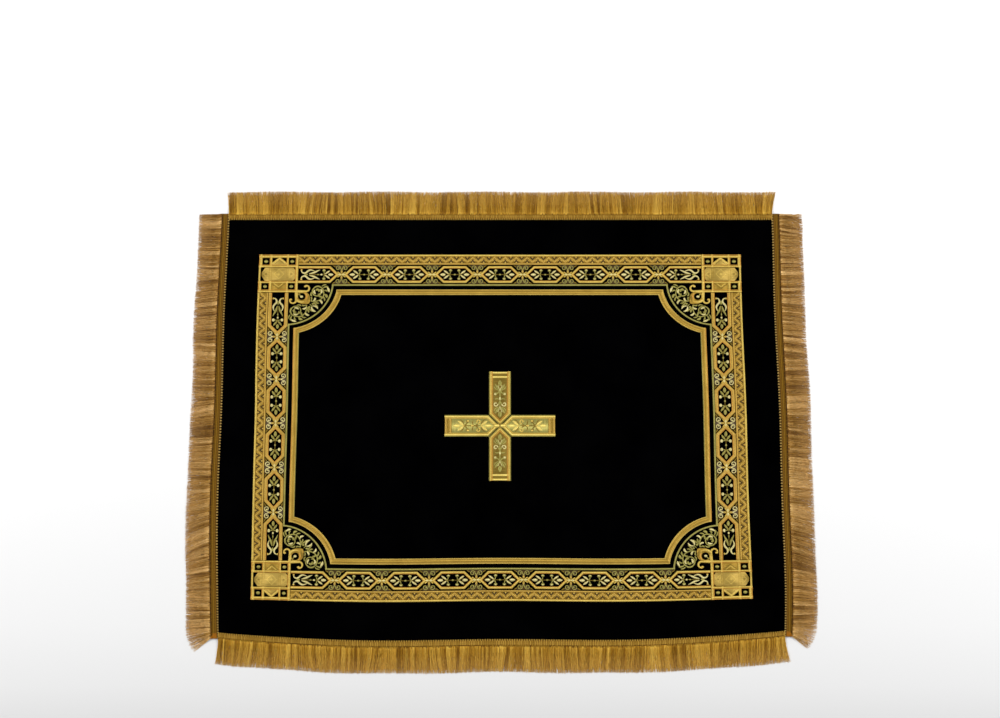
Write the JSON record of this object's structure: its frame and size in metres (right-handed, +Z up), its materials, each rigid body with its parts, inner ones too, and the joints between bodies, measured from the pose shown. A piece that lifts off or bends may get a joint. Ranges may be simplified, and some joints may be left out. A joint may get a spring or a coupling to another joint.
{
  "type": "altar veil",
  "caption": "Large rectangular altar veil of black velvet with a gold embroidered border and cross, edged with fringe, lying flat.",
  "frame": {"origin": "middle of the cloth on the surface it lies on", "axes": "+Z up from the table, +X to the right along the long side, +Y towards the upper edge of the embroidery"},
  "size_m": [0.7836, 0.614, 0.0036],
  "materials": {
    "velvet": "black pile velvet",
    "gold_work": "satin stitch in gold metallised thread",
    "olive_gold_work": "fill stitch in darker olive gold thread",
    "fringe_yarn": "silky gold-brown fringe and woven heading"
  },
  "bodies": {
    "root": {"cartouches_bottom": "gold_work", "cartouches_left": "gold_work", "cartouches_right": "gold_work", "cartouches_top": "gold_work", "centre_cross": "olive_gold_work", "contour_band": "gold_work", "corner_block_1": "gold_work", "corner_block_2": "gold_work", "corner_block_3": "gold_work", "corner_block_4": "gold_work", "corner_scroll_1": "gold_work", "corner_scroll_2": "gold_work", "corner_scroll_3": "gold_work", "corner_scroll_4": "gold_work", "fringe_bottom": "fringe_yarn", "fringe_left": "fringe_yarn", "fringe_right": "fringe_yarn", "fringe_top": "fringe_yarn", "inner_line": "olive_gold_work", "velvet_panel": "velvet", "zigzag_bottom": "gold_work", "zigzag_left": "gold_work", "zigzag_right": "gold_work", "zigzag_top": "gold_work"}
  },
  "joints": []
}
